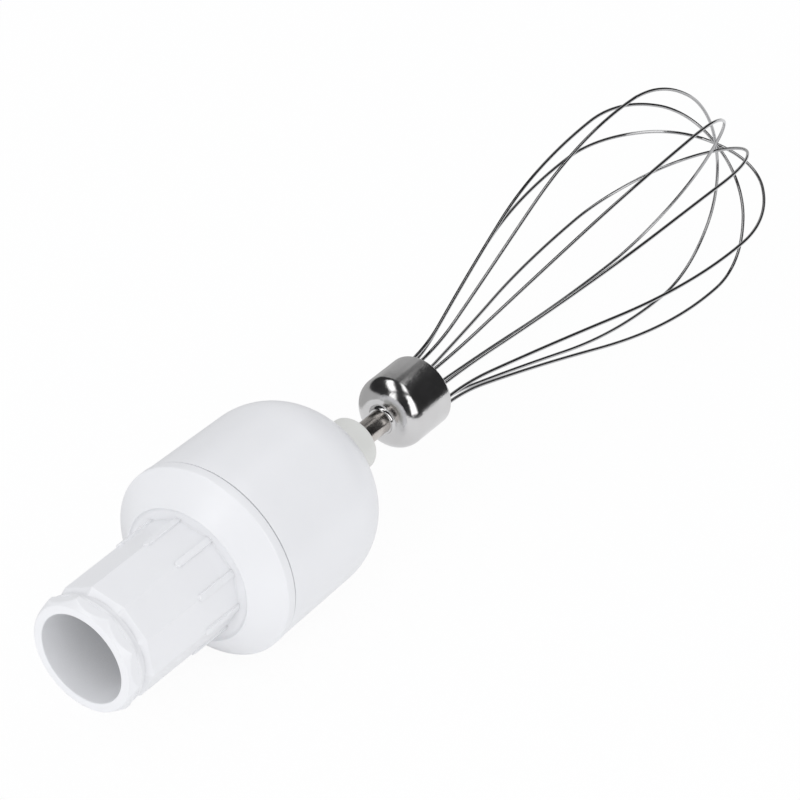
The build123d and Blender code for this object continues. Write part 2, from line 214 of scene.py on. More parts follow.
# Small edges that catch the light, and the short run over which a sudden step is made
SOFT_EDGE = 0.3
CRISP_EDGE = 0.15
CREASE = 0.06
RECESS_EDGE = 1.2
SUDDEN = 0.01

# Keeps the distance to a flat finite along the flat itself
SMALLEST_SINE = 0.01

# How finely the shapes are drawn: steps in an arc, rows along the axis and columns about it
EDGE_STEPS = 6
FLANGE_ROWS = 30
SNOUT_ROWS = 12
STEP_SHARES = (0, 0.15, 0.5, 0.85, 1)
BLEND_SHARES = (0.1, 0.5, 0.9)
CORNER_SHARES = (0, 0.012, 0.025, 0.04, 0.06, 0.09, 0.14, 0.2, 0.28, 0.38, 0.5, 0.62, 0.75, 0.88)
RIB_END_STEPS = 10
RIB_EDGE_STEPS = 4
DOME_ARC_STEPS = 28
DOME_SIDE_STEPS = 6
DOME_COLUMNS = 240
LUG_COLUMNS = 32
HUB_EDGE_STEPS = 8
HUB_COLUMNS = 144
SHAFT_COLUMNS = 96
FERRULE_EDGE_STEPS = 24
FERRULE_COLUMNS = 240
WIRE_BEND_STEPS = 24
WIRE_POINTS = 150
WIRE_SIDES = 20

# Edges between faces that meet at a larger angle, in degrees, are drawn sharp
SHARP_ANGLE = 35
MOULDING_SHARP_ANGLE = 40
SHAFT_SHARP_ANGLE = 30
FERRULE_SHARP_ANGLE = 50
WIRE_SHARP_ANGLE = 60

# Noises: how many features there are in a metre, and how fine their detail is
PLASTIC_FLOW = (60, 2)
PLASTIC_GLOSS = (300, 4)
PLASTIC_GRAIN = (2500, 2)
METAL_TONE = (120, 3)
METAL_LINES = (400, 4)
METAL_GRAIN = (2400, 2)

# The values that nearly all of a noise lies between
NOISE_LOW = 0.3
NOISE_HIGH = 0.7

# How uneven the gloss is, and how high the plastic's grain stands in metres
PLASTIC_ROUGHNESS_SPREAD = 0.05
METAL_ROUGHNESS_SPREAD = (0.8, 1.25)
PLASTIC_RELIEF = 0.000004

# Painted shade: its reach in grooves and in the bore, its strength in the bore and in the grooves of
# shell and hub, how open the bore's wall must be to have none, and how many rays look for it
HOLLOW_REACH = 0.8
BORE_REACH = 30.0
BORE_SHADE = 0.3
SHELL_SHADE = 0.1
HUB_SHADE = 0.4
OPEN_ENOUGH = 0.38
SHADE_RAYS = 8


# Shapes

def laying():
    """Takes upright millimetres to the frame, along the axis that the coupler's mount gives."""
    mount = next(mount for mount in frame["record"]["mounts"] if mount["name"] == "coupler_bore")
    axis = -Vector(mount["axis"]).normalized()
    mouth = Vector(mount["pos_m"]) - axis * mount["dims"]["length_mm"] / 2 * MM
    side = Vector((0, 1, 0))
    turn = Matrix((side.cross(axis), side, axis)).transposed().to_4x4()
    return Matrix.Translation(mouth) @ turn @ Matrix.Scale(MM, 4)


LAID = laying()


def rounded(corners, closed=True, steps=EDGE_STEPS):
    """A profile of points (radius, height) from corners (radius, height, rounding)."""
    count = len(corners)
    points = []
    for index, (r, z, rounding) in enumerate(corners):
        here = Vector((r, z))
        inner = closed or 0 < index < count - 1
        if rounding <= 0 or not inner:
            points.append((r, z))
            continue
        before = Vector(corners[index - 1][:2]) - here
        after = Vector(corners[(index + 1) % count][:2]) - here
        half = before.angle(after) / 2
        reach = min(rounding / math.tan(half), before.length, after.length)
        radius = reach * math.tan(half)
        centre = here + (before.normalized() + after.normalized()).normalized() * radius / math.sin(half)
        start = here + before.normalized() * reach - centre
        end = here + after.normalized() * reach - centre
        sweep = start.angle_signed(end)
        for step in range(steps + 1):
            points.append(tuple(centre + Matrix.Rotation(-sweep * step / steps, 2) @ start))
    return points


def grid_mesh(rows, columns):
    """Points and faces of rows that close on themselves about the axis and from last to first."""
    points = [point for row in rows for point in row]
    faces = []
    for row in range(len(rows)):
        upper = (row + 1) % len(rows)
        for column in range(columns):
            after = (column + 1) % columns
            faces.append((row * columns + column, row * columns + after,
                          upper * columns + after, upper * columns + column))
    return points, faces


def around(angle, radius, height):
    """A point about the axis. The angle counts from the downward side towards +Y."""
    return Vector((radius * math.cos(angle), radius * math.sin(angle), height))


def turned(profile, columns, limit=None):
    """A closed profile turned about the axis. The limit may draw a radius in by angle and height."""
    rows = []
    for r, z in profile:
        row = []
        for column in range(columns):
            angle = 2 * math.pi * column / columns
            radius = limit(angle, r, z) if limit else r
            row.append(around(angle, radius, z))
        rows.append(row)
    return grid_mesh(rows, columns)


def across_flats(width, angle):
    """How far out a pair of flats lies at an angle, for flats that face +Y and -Y."""
    return width / 2 / max(abs(math.sin(angle)), SMALLEST_SINE)


def join(*meshes):
    """One mesh out of several meshes of points and faces."""
    points, faces = [], []
    for some_points, some_faces in meshes:
        offset = len(points)
        points += some_points
        faces += [tuple(corner + offset for corner in face) for face in some_faces]
    return points, faces


def make_piece(name, mesh_data, material, body, replaced, sharp_angle=SHARP_ANGLE):
    """A laid down mesh piece that moves with its body and takes the place of a CAD node."""
    points, faces = mesh_data
    mesh = bpy.data.meshes.new(name)
    mesh.from_pydata([LAID @ point for point in points], [], faces)
    mesh.validate()
    piece = bpy.data.objects.new(name, mesh)
    bpy.context.scene.collection.objects.link(piece)
    bpy.ops.object.select_all(action="DESELECT")
    bpy.context.view_layer.objects.active = piece
    piece.select_set(True)
    bpy.ops.object.mode_set(mode="EDIT")
    bpy.ops.mesh.select_all(action="SELECT")
    bpy.ops.mesh.remove_doubles(threshold=SAME_PLACE)
    bpy.ops.mesh.delete_loose()
    bpy.ops.mesh.select_all(action="SELECT")
    bpy.ops.mesh.normals_make_consistent(inside=False)
    bpy.ops.object.mode_set(mode="OBJECT")
    piece.select_set(False)
    mesh.shade_smooth()
    mesh.set_sharp_from_angle(angle=math.radians(sharp_angle))
    mesh.materials.append(material)
    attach(piece, body)
    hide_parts(replaced)


# Materials

def new_material(name, color, roughness, metallic=0.0):
    """A material with its shader's plain values set. Returns the material, its nodes and its shader."""
    material = bpy.data.materials.new(name)
    material.use_nodes = True
    shader = material.node_tree.nodes["Principled BSDF"]
    shader.inputs["Base Color"].default_value = (*color, 1.0)
    shader.inputs["Roughness"].default_value = roughness
    shader.inputs["Metallic"].default_value = metallic
    return material, material.node_tree, shader


def noise(tree, grain, stretch=(1, 1, 1)):
    """A noise in the object's own coordinates. Its grain is a scale and a detail."""
    scale, detail = grain
    place = tree.nodes.new("ShaderNodeTexCoord")
    mapping = tree.nodes.new("ShaderNodeMapping")
    mapping.inputs["Scale"].default_value = stretch
    texture = tree.nodes.new("ShaderNodeTexNoise")
    texture.inputs["Scale"].default_value = scale
    texture.inputs["Detail"].default_value = detail
    tree.links.new(place.outputs["Object"], mapping.inputs["Vector"])
    tree.links.new(mapping.outputs["Vector"], texture.inputs["Vector"])
    return texture.outputs["Fac"]


def vary(tree, socket, source, low, high):
    """Drives a socket by a texture that is spread between two values."""
    spread = tree.nodes.new("ShaderNodeMapRange")
    spread.inputs["From Min"].default_value = NOISE_LOW
    spread.inputs["From Max"].default_value = NOISE_HIGH
    spread.inputs["To Min"].default_value = low
    spread.inputs["To Max"].default_value = high
    tree.links.new(source, spread.inputs["Value"])
    tree.links.new(spread.outputs["Result"], socket)


def bump(tree, shader, source, height):
    """Raises the surface by a texture, with its full height in metres."""
    relief = tree.nodes.new("ShaderNodeBump")
    relief.inputs["Distance"].default_value = height
    tree.links.new(source, relief.inputs["Height"])
    tree.links.new(relief.outputs["Normal"], shader.inputs["Normal"])


def tint(tree, shader, source, dark, light):
    """Mixes two close colours by a texture."""
    mix = tree.nodes.new("ShaderNodeMix")
    mix.data_type = "RGBA"
    mix.inputs["A"].default_value = (*dark, 1.0)
    mix.inputs["B"].default_value = (*light, 1.0)
    tree.links.new(source, mix.inputs["Factor"])
    tree.links.new(mix.outputs["Result"], shader.inputs["Base Color"])
    return mix.outputs["Result"]


def shade_hollows(tree, shader, color, reach, depth, open_enough=1.0, alone=False):
    """Paints shade into the colour, darker by how closed in the surface is within a reach, and returns
    it.

    Alone, a piece is shaded by its own walls and not by what lies near it.
    """
    closed = tree.nodes.new("ShaderNodeAmbientOcclusion")
    closed.inputs["Distance"].default_value = reach * MM
    closed.samples = SHADE_RAYS
    closed.only_local = alone
    level = tree.nodes.new("ShaderNodeMapRange")
    level.inputs["From Max"].default_value = open_enough
    level.inputs["To Min"].default_value = 1 - depth
    tree.links.new(closed.outputs["AO"], level.inputs["Value"])
    shaded = tree.nodes.new("ShaderNodeVectorMath")
    shaded.operation = "SCALE"
    tree.links.new(color, shaded.inputs[0])
    tree.links.new(level.outputs["Result"], shaded.inputs["Scale"])
    tree.links.new(shaded.outputs[0], shader.inputs["Base Color"])
    return shaded.outputs[0]


def moulded_plastic(name, dark, light, roughness, hollow_shade=0.0, deep_bore_shade=0.0):
    """Plastic with a faint flow in its colour, an uneven gloss and a very fine grain.

    The hollow value paints shade into grooves and gaps, and the bore value paints shade into the
    depth of a bore.
    """
    material, tree, shader = new_material(name, light, roughness)
    color = tint(tree, shader, noise(tree, PLASTIC_FLOW), dark, light)
    # Painted shade: grooves, gaps and the deep bore are darkened in the colour
    if hollow_shade:
        color = shade_hollows(tree, shader, color, HOLLOW_REACH, hollow_shade)
    if deep_bore_shade:
        shade_hollows(tree, shader, color, BORE_REACH, deep_bore_shade, OPEN_ENOUGH, alone=True)
    glossiest = roughness - PLASTIC_ROUGHNESS_SPREAD
    dullest = roughness + PLASTIC_ROUGHNESS_SPREAD
    vary(tree, shader.inputs["Roughness"], noise(tree, PLASTIC_GLOSS), glossiest, dullest)
    bump(tree, shader, noise(tree, PLASTIC_GRAIN), PLASTIC_RELIEF)
    return material


def metal(name, dark, light, roughness, stretch=(1, 1, 1), relief=0.0):
    """Steel or bronze with an uneven gloss and a fine relief, which may run along one direction."""
    material, tree, shader = new_material(name, light, roughness, metallic=1.0)
    tint(tree, shader, noise(tree, METAL_TONE), dark, light)
    glossiest, dullest = (roughness * spread for spread in METAL_ROUGHNESS_SPREAD)
    vary(tree, shader.inputs["Roughness"], noise(tree, METAL_LINES, stretch), glossiest, dullest)
    if relief:
        bump(tree, shader, noise(tree, METAL_GRAIN, stretch), relief)
    return material


def white_shell():
    return moulded_plastic("white_shell", (0.835, 0.84, 0.855), (0.86, 0.865, 0.88),
                           0.34, SHELL_SHADE, BORE_SHADE)


def hub_plastic():
    return moulded_plastic("hub_plastic", (0.735, 0.74, 0.71), (0.77, 0.775, 0.745), 0.42, HUB_SHADE)


def inner_plastic():
    return moulded_plastic("inner_plastic", (0.27, 0.28, 0.30), (0.34, 0.35, 0.37), 0.5)


def gear_plastic():
    return moulded_plastic("gear_plastic", (0.74, 0.72, 0.66), (0.80, 0.78, 0.72), 0.45)


def black_rubber():
    return moulded_plastic("black_rubber", (0.02, 0.02, 0.02), (0.04, 0.04, 0.04), 0.7)


def bronze():
    return metal("bronze", (0.50, 0.32, 0.17), (0.66, 0.44, 0.25), 0.38, relief=0.000005)


def screw_steel():
    return metal("screw_steel", (0.52, 0.52, 0.53), (0.66, 0.66, 0.67), 0.3, relief=0.000003)


def gear_steel():
    return metal("gear_steel", (0.46, 0.46, 0.47), (0.58, 0.58, 0.59), 0.3, relief=0.000003)


def shaft_steel():
    return metal("shaft_steel", (0.54, 0.50, 0.47), (0.66, 0.63, 0.60), 0.21, stretch=(4, 1, 1))


def polished_steel():
    return metal("polished_steel", (0.60, 0.595, 0.595), (0.72, 0.715, 0.715),
                 0.16, stretch=(0.5, 1, 1), relief=0.00002)


def wire_steel():
    return metal("wire_steel", (0.43, 0.43, 0.435), (0.54, 0.54, 0.545), 0.07)


MATERIALS = {
    "white_shell": white_shell(),
    "hub_plastic": hub_plastic(),
    "inner_plastic": inner_plastic(),
    "gear_plastic": gear_plastic(),
    "black_rubber": black_rubber(),
    "bronze": bronze(),
    "screw_steel": screw_steel(),
    "gear_steel": gear_steel(),
    "shaft_steel": shaft_steel(),
    "polished_steel": polished_steel(),
    "wire_steel": wire_steel(),
}


def dress_nodes():
    """Gives every CAD node the material of its slot."""
    for part in frame["record"]["subparts"]:
        node = nodes[part["node"]]
        node.data.materials.clear()
        node.data.materials.append(MATERIALS[part["material_slot"]])


# Coupler

def side_radius(corner_radius, angle, edge):
    """The ten-sided outline's radius at an angle, with rounded corners."""
    sector = math.pi / SNOUT_SIDES
    turn = (angle - math.radians(SNOUT_TURN)) % (2 * sector)
    from_corner = min(turn, 2 * sector - turn)
    flat = corner_radius * math.cos(sector)
    from_middle = sector - from_corner
    if math.tan(from_middle) * flat <= (flat - edge) * math.tan(sector):
        return flat / math.cos(from_middle)
    centre = (flat - edge) / math.cos(sector)
    across = centre * math.sin(from_corner)
    return centre * math.cos(from_corner) + math.sqrt(edge**2 - across**2)


def snout_angles():
    """Angles about the axis, close together at the ten corners."""
    sector = math.pi / SNOUT_SIDES
    half = [sector * share for share in CORNER_SHARES]
    one = [-step for step in reversed(half[1:])] + half + [sector]
    start = math.radians(SNOUT_TURN)
    return [start + 2 * sector * side + step for side in range(SNOUT_SIDES) for step in one]


def coupler_outside():
    """Rows (radius by angle, height) from the mouth's edge over the snout to the seam."""
    def circle(r, z):
        return (lambda angle: r), z

    def prism(corner, z, edge=SOFT_EDGE):
        return (lambda angle: side_radius(corner, angle, edge)), z

    def flange(z):
        slope = (FLANGE_CORNER_RADIUS - MOUTH_FACE_RADIUS) / FLANGE_TAPER_LENGTH
        cone = MOUTH_FACE_RADIUS + slope * z

        def radius(angle):
            flat = side_radius(FLANGE_CORNER_RADIUS, angle, SOFT_EDGE)
            blend = max(CREASE - abs(flat - cone), 0) / CREASE
            return min(flat, cone) - blend**2 * CREASE / 4
        return radius, z

    def blend(low, high, share, z):
        return (lambda angle: low(angle) * (1 - share) + high(angle) * share), z

    bore_edge = [(BORE_RADIUS, BORE_LENGTH, 0), (BORE_RADIUS, 0, SOFT_EDGE), (MOUTH_FACE_RADIUS, 0, 0)]
    rows = [circle(r, z) for r, z in rounded(bore_edge, False)[1:-1]]
    rows += [circle(MOUTH_FACE_RADIUS - inset, z) for inset, z in MOUTH_FACE_EDGE]
    rows += [flange(FLANGE_PRISM_LENGTH * step / FLANGE_ROWS) for step in range(1, FLANGE_ROWS)]
    end_of_prism, _ = flange(FLANGE_PRISM_LENGTH)
    rim, _ = circle(FLANGE_RIM_RADIUS, 0)
    for share in STEP_SHARES:
        z = FLANGE_PRISM_LENGTH + FLANGE_STEP_LENGTH * (share - 0.5)
        rows.append(blend(end_of_prism, rim, share, z))
    rim_and_groove = [(FLANGE_RIM_RADIUS, FLANGE_PRISM_LENGTH + FLANGE_RIM_RUN, 0),
                      (FLANGE_RIM_RADIUS, FLANGE_END, CRISP_EDGE),
                      (GROOVE_RADIUS, FLANGE_END, CRISP_EDGE),
                      (GROOVE_RADIUS, SNOUT_START, 0)]
    rows += [circle(r, z) for r, z in rounded(rim_and_groove, False)]
    front, _ = prism(SNOUT_FRONT_RADIUS, 0)
    groove, _ = circle(GROOVE_RADIUS, 0)
    for share in BLEND_SHARES:
        rows.append(blend(groove, front, share, SNOUT_START + SNOUT_FACE_BLEND * share))
    rows.append(prism(SNOUT_FRONT_RADIUS, SNOUT_START + SNOUT_FACE_LENGTH))
    chamfer = [(SNOUT_FRONT_RADIUS, SNOUT_START + SNOUT_FACE_LENGTH, 0),
               (SNOUT_CORNER_RADIUS, SNOUT_CHAMFER_END, 2 * SOFT_EDGE),
               (SNOUT_BACK_RADIUS, SNOUT_END, 0)]
    rows += [prism(r, z) for r, z in rounded(chamfer, False)[1:-1]]
    taper = (SNOUT_BACK_RADIUS - SNOUT_CORNER_RADIUS) / (SNOUT_END - SNOUT_CHAMFER_END)
    for step in range(1, SNOUT_ROWS):
        z = SNOUT_CHAMFER_END + (SNOUT_END - SNOUT_CHAMFER_END) * step / SNOUT_ROWS
        rows.append(prism(SNOUT_CORNER_RADIUS + taper * (z - SNOUT_CHAMFER_END), z))
    rows.append(prism(SNOUT_BACK_RADIUS, SNOUT_END - SOFT_EDGE))
    rows += [prism(SNOUT_BACK_RADIUS + outset, SNOUT_END - before) for outset, before in SNOUT_ROOT]
    shoulder = [(RECESS_RADIUS - RECESS_FLOOR_INSET, SNOUT_END, 0),
                (RECESS_RADIUS - RECESS_DEPTH, SNOUT_END, RECESS_EDGE),
                (RECESS_RADIUS, SNOUT_END - RECESS_DEPTH, SOFT_EDGE),
                (HOUSING_RADIUS, SHOULDER_EDGE, 2 * SOFT_EDGE),
                (HOUSING_RADIUS, SEAM, CRISP_EDGE),
                (SPIGOT_RADIUS, SEAM, 0)]
    rows += [circle(r, z) for r, z in rounded(shoulder, False)]
    return rows


def coupler_inside():
    """Rows from the spigot through the hollow and the bulkhead back to the bore."""
    cone = (RECESS_RADIUS, SNOUT_END + SHELL_THICKNESS)
    slope = (HOUSING_RADIUS - RECESS_RADIUS) / (SHOULDER_EDGE - SNOUT_END + RECESS_DEPTH)
    cone_end = cone[1] + (SPIGOT_INNER_RADIUS - RECESS_RADIUS) / slope
    corners = [(SPIGOT_RADIUS, SEAM, 0),
               (SPIGOT_RADIUS, SPIGOT_END, CRISP_EDGE),
               (SPIGOT_INNER_RADIUS, SPIGOT_END, CRISP_EDGE),
               (SPIGOT_INNER_RADIUS, cone_end, 0),
               (cone[0], cone[1], 0),
               (SNOUT_INNER_RADIUS, cone[1], SOFT_EDGE),
               (SNOUT_INNER_RADIUS, BULKHEAD_END, SOFT_EDGE),
               (BUSH_HOLE_RADIUS, BULKHEAD_END, CRISP_EDGE),
               (BUSH_HOLE_RADIUS, BORE_DEPTH, CRISP_EDGE),
               (INNER_BORE_RADIUS, BORE_DEPTH, SOFT_EDGE),
               (INNER_BORE_RADIUS, BORE_LENGTH, CRISP_EDGE),
               (BORE_RADIUS, BORE_LENGTH, CRISP_EDGE),
               (BORE_RADIUS, 0, 0)]
    return [((lambda angle, r=r: r), z) for r, z in rounded(corners, False)[1:-1]]


def rounded_bar(place, length, width, height, depth, edge):
    """A low bar that lies along the axis, round at the end that faces the mouth.

    It spreads sideways and along the axis from its place and rises outwards.
    """
    outline = []
    for step in range(RIB_END_STEPS + 1):
        angle = math.pi * step / RIB_END_STEPS
        outline.append((-math.cos(angle) * width / 2, -math.sin(angle) * width / 2))
    outline += [(width / 2, length / 3), (width / 2, length)]
    outline += [(-width / 2, length), (-width / 2, length / 3)]
    rings = [(0, -depth)]
    for step in range(RIB_EDGE_STEPS + 1):
        angle = math.pi / 2 * step / RIB_EDGE_STEPS
        rings.append((edge * (1 - math.cos(angle)), height - edge + edge * math.sin(angle)))
    rings.append((edge + RIB_TOP_INSET, height))
    points, faces = [], []
    for inset, lift in rings:
        for across, along in outline:
            share = 1 - 2 * inset / width
            front = along - min(0, along) * (1 - share)
            points.append(place @ Vector((lift, across * share, front)))
    count = len(outline)
    for ring in range(len(rings) - 1):
        for column in range(count):
            after = (column + 1) % count
            faces.append((ring * count + column, ring * count + after,
                          (ring + 1) * count + after, (ring + 1) * count + column))
    faces.append(tuple(range(count))[::-1])
    faces.append(tuple((len(rings) - 1) * count + column for column in range(count)))
    return points, faces


def ribs():
    """The low ribs along the snout's corners, which run into the recess."""
    bars = []
    start = Matrix.Translation((SNOUT_BACK_RADIUS, 0, SNOUT_END - RIB_LENGTH + RIB_WIDTH / 2))
    length = RIB_LENGTH - RIB_WIDTH / 2 + RIB_OVERLAP
    for side in range(SNOUT_SIDES):
        angle = SNOUT_TURN + 360 / SNOUT_SIDES * side
        place = Matrix.Rotation(math.radians(angle), 4, "Z") @ start
        bars.append(rounded_bar(place, length, RIB_WIDTH, RIB_HEIGHT, RIB_WIDTH, RIB_EDGE))
    return bars


def coupler():
    angles = snout_angles()
    rows = []
    for radius, z in coupler_outside() + coupler_inside():
        rows.append([around(angle, radius(angle), z) for angle in angles])
    body = grid_mesh(rows, len(angles))
    make_piece("coupler_moulding", join(body, *ribs()), MATERIALS["white_shell"], "housing",
               "coupler_housing", MOULDING_SHARP_ANGLE)


# Dome

def arc_points(centre, radius, start, end, steps):
    """Points (radius, height) along an arc about a centre, from one angle to another."""
    points = []
    for step in range(steps + 1):
        angle = start + (end - start) * step / steps
        points.append((centre[0] + radius * math.cos(angle), centre[1] + radius * math.sin(angle)))
    return points


def dome_arc(inset):
    """The dome's meridian from the knuckle's start to the axis, drawn in by an inset."""
    side = DOME_SIDE_RADIUS - inset
    knuckle = KNUCKLE_RADIUS - inset
    rise = CROWN_HEIGHT - inset
    offset = side - knuckle
    crown = (offset**2 + rise**2 - knuckle**2) / (2 * (rise - knuckle))
    centre = KNUCKLE_START + rise - crown
    lean = math.atan2(KNUCKLE_START - centre, offset)
    side_arc = arc_points((offset, KNUCKLE_START), knuckle, 0, lean, DOME_ARC_STEPS)
    crown_arc = arc_points((0, centre), crown, lean, math.pi / 2, DOME_ARC_STEPS)
    return side_arc[:-1] + crown_arc


def cut_arc(arc, radius):
    """The arc's points outside a radius, and its height there."""
    kept = [point for point in arc if point[0] > radius]
    (r0, z0), (r1, z1) = kept[-1], arc[len(kept)]
    height = z0 + (z1 - z0) * (r0 - radius) / (r0 - r1)
    return kept, height


def lugs():
    """The three tubes inside the dome that take the cover's screws."""
    corners = [(LUG_RADIUS, LUG_START, CRISP_EDGE), (LUG_RADIUS, LUG_END, CRISP_EDGE),
               (LUG_HOLE_RADIUS, LUG_END, 0), (LUG_HOLE_RADIUS, LUG_START, 0)]
    points, faces = turned(rounded(corners), LUG_COLUMNS)
    tubes = []
    for lug in range(LUG_COUNT):
        centre = around(math.radians(FIRST_LUG + 360 / LUG_COUNT * lug), LUG_CIRCLE_RADIUS, 0)
        tubes.append(([point + centre for point in points], faces))
    return tubes


def dome():
    outer, hole_height = cut_arc(dome_arc(0), NOSE_HOLE_RADIUS + SOFT_EDGE)
    inner, boss_height = cut_arc(dome_arc(DOME_WALL), BOSS_RADIUS)
    start = [(DOME_SEAM_RADIUS - DOME_WALL, DOME_START, 0),
             (DOME_SEAM_RADIUS, DOME_START, CRISP_EDGE),
             (DOME_SIDE_RADIUS, KNUCKLE_START, 0)]
    side = []
    for step in range(1, DOME_SIDE_STEPS):
        share = step / DOME_SIDE_STEPS
        side.append((DOME_SEAM_RADIUS + (DOME_SIDE_RADIUS - DOME_SEAM_RADIUS) * share,
                     DOME_START + (KNUCKLE_START - DOME_START) * share))
    edge = [(NOSE_HOLE_RADIUS + SOFT_EDGE, hole_height, 0),
            (NOSE_HOLE_RADIUS, hole_height + NOSE_HOLE_RISE, SOFT_EDGE),
            (NOSE_HOLE_RADIUS, SEAL_END, 0)]
    bores = [(SEAL_RADIUS, SEAL_END), (SEAL_RADIUS, SEAL_START),
             (NOSE_HOLE_RADIUS, SEAL_START), (NOSE_HOLE_RADIUS, BEARING_END),
             (BEARING_RADIUS, BEARING_END), (BEARING_RADIUS, BEARING_START),
             (BOSS_RADIUS, BEARING_START), (BOSS_RADIUS, boss_height)]
    profile = rounded(start, False)[1:-1] + side + outer + rounded(edge, False)
    profile += bores + inner[::-1] + [(DOME_SIDE_RADIUS - DOME_WALL, DOME_START)]
    shell = turned(profile, DOME_COLUMNS)
    make_piece("dome_moulding", join(shell, *lugs()), MATERIALS["white_shell"], "housing",
               "dome_housing", MOULDING_SHARP_ANGLE)


# Hub

def hub():
    def flats(angle, radius, z):
        if z < CARRIER_END and radius > HUB_KEY_FLATS / 2:
            return min(radius, across_flats(HUB_KEY_FLATS, angle))
        if z < SOCKET_FLAT_END and SOCKET_FLATS / 2 < radius <= SOCKET_RADIUS:
            return min(radius, across_flats(SOCKET_FLATS, angle))
        return radius

    outside = [(HUB_KEY_RADIUS, HUB_KEY_START, CRISP_EDGE),
               (HUB_KEY_RADIUS, CARRIER_END - SUDDEN, 0),
               (HUB_COLLAR_RADIUS, CARRIER_END, CRISP_EDGE),
               (HUB_COLLAR_RADIUS, HUB_COLLAR_END, CRISP_EDGE),
               (HUB_RADIUS, HUB_COLLAR_END, CRISP_EDGE),
               (HUB_RADIUS, NOSE, 0),
               (HUB_RADIUS, HUB_FRONT, HUB_EDGE_RADIUS)]
    socket = [(SOCKET_RADIUS, HUB_FRONT, SOFT_EDGE),
              (SOCKET_RADIUS, GRIP_GROOVE_END, 0),
              (GRIP_GROOVE_RADIUS, GRIP_GROOVE_END, 0),
              (GRIP_GROOVE_RADIUS, GRIP_GROOVE_START, 0),
              (SOCKET_RADIUS, GRIP_GROOVE_START, 0),
              (SOCKET_RADIUS, SOCKET_FLAT_END + SUDDEN, 0),
              (SOCKET_RADIUS, SOCKET_FLAT_END - SUDDEN, 0),
              (SOCKET_RADIUS, SOCKET_END, 0)]
    screw_hole = [(HUB_SCREW_HOLE_RADIUS, SOCKET_END - SUDDEN, 0),
                  (HUB_SCREW_HOLE_RADIUS, HUB_SCREW_HOLE_END, 0)]
    corners = [(HUB_SCREW_HOLE_RADIUS, HUB_KEY_START, 0)] + outside + socket + screw_hole
    body = turned(rounded(corners, steps=HUB_EDGE_STEPS), HUB_COLUMNS, flats)
    make_piece("hub_moulding", body, MATERIALS["hub_plastic"], "output", "output_hub")


# Whisk

def shaft():
    def flats(angle, radius, z):
        if z > SHAFT_FLAT_END:
            return radius
        return min(radius, across_flats(SHAFT_FLATS, angle))

    corners = [(0, SHAFT_START, 0),
               (SHAFT_RADIUS - SHAFT_TIP_CHAMFER, SHAFT_START, 0),
               (SHAFT_RADIUS, SHAFT_START + SHAFT_TIP_CHAMFER, 0),
               (SHAFT_RADIUS, SHAFT_FLAT_END, 0),
               (SHAFT_RADIUS, SHAFT_FLAT_END + SUDDEN, 0),
               (SHAFT_RADIUS, HUB_FRONT, 0),
               (SHAFT_RADIUS, NECK_START, 0),
               (SHAFT_RADIUS, HOLDER_FRONT, CRISP_EDGE),
               (0, HOLDER_FRONT, 0)]
    body = turned(rounded(corners), SHAFT_COLUMNS, flats)
    make_piece("steel_shaft", body, MATERIALS["shaft_steel"], "whisk", "whisk_shaft", SHAFT_SHARP_ANGLE)


def ferrule():
    back = NECK_START + NECK_LENGTH
    inner = FERRULE_RADIUS - FERRULE_WALL
    lip = FERRULE_RADIUS - FERRULE_LIP
    corners = [(NECK_HOLE_RADIUS, NECK_START, 0),
               (NECK_FRONT_RADIUS, NECK_START, CREASE),
               (NECK_RADIUS, back, NECK_FLARE),
               (FERRULE_RADIUS, back, FERRULE_SHOULDER),
               (FERRULE_RADIUS, FERRULE_FRONT, FERRULE_RIM),
               (lip, FERRULE_FRONT, CRISP_EDGE),
               (lip, FERRULE_FRONT - FERRULE_WALL, 0),
               (inner, FERRULE_FRONT - FERRULE_WALL, 0),
               (inner, back + FERRULE_WALL, FERRULE_SHOULDER - FERRULE_WALL),
               (NECK_HOLE_RADIUS, back + FERRULE_WALL, 0)]
    body = turned(rounded(corners, steps=FERRULE_EDGE_STEPS), FERRULE_COLUMNS)
    make_piece("steel_ferrule", body, MATERIALS["polished_steel"], "whisk", "ferrule",
               FERRULE_SHARP_ANGLE)


def wire_route(number):
    """Half of a wire's even route as points (radius, height), from its hole to the balloon's nose."""
    tip = WIRE_TIP - WIRE_RADIUS - number * (2 * WIRE_RADIUS + WIRE_STEP)
    flare = math.atan2(BALLOON_RADIUS - WIRE_CIRCLE_RADIUS, WIDEST_START - FLARE_START)
    corners = [(WIRE_CIRCLE_RADIUS, HOLDER_FRONT - WIRE_HOLE_DEPTH, 0),
               (WIRE_CIRCLE_RADIUS, FLARE_START, FLARE_BEND),
               (BALLOON_RADIUS, WIDEST_START, WIDEST_EASE / math.tan(flare / 2)),
               (BALLOON_RADIUS, tip - SHOULDER_LENGTH, SHOULDER_BEND),
               (BALLOON_NOSE_RADIUS, tip, NOSE_BEND), (0, tip, 0)]
    return evenly(rounded(corners, False, steps=WIRE_BEND_STEPS), WIRE_POINTS), tip


def evenly(points, count):
    """The same route with its points at even steps."""
    lengths = [0]
    for (r0, z0), (r1, z1) in zip(points, points[1:]):
        lengths.append(lengths[-1] + math.hypot(r1 - r0, z1 - z0))
    even, index = [], 0
    for step in range(count + 1):
        reach = lengths[-1] * step / count
        while index < len(points) - 2 and lengths[index + 1] < reach:
            index += 1
        share = (reach - lengths[index]) / (lengths[index + 1] - lengths[index])
        (r0, z0), (r1, z1) = points[index], points[index + 1]
        even.append((r0 + (r1 - r0) * share, z0 + (z1 - z0) * share))
    return even


